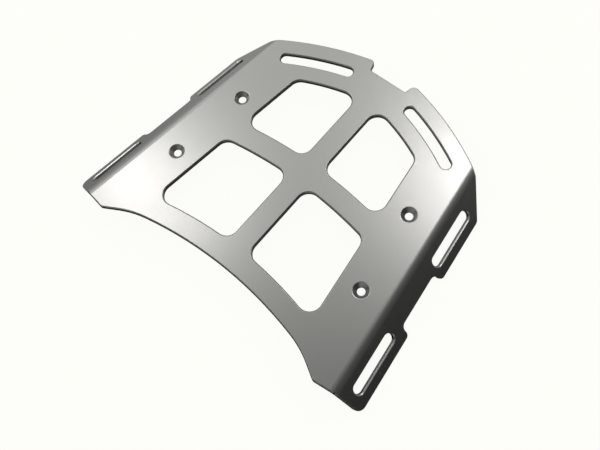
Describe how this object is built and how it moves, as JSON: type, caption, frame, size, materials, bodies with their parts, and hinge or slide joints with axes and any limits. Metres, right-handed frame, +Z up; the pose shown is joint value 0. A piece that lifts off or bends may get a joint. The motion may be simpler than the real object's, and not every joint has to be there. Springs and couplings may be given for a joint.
{
  "type": "luggage rack",
  "caption": "Folded aluminium luggage rack plate for a motorcycle tail: windows round a cross of struts, slotted folded flanges, curved rear strap slots and countersunk fixing holes.",
  "frame": {"origin": "under the middle of the rack's bounding box, at the level of the flanges' lower edges", "axes": "+X across the rack, +Y toward the notched rear edge, +Z up out of the top face"},
  "size_m": [0.3056, 0.243, 0.0219],
  "materials": {
    "anodised_aluminium": "fine bead-blasted, natural anodised, satin"
  },
  "bodies": {
    "root": {"rack_plate": "anodised_aluminium"}
  },
  "joints": []
}
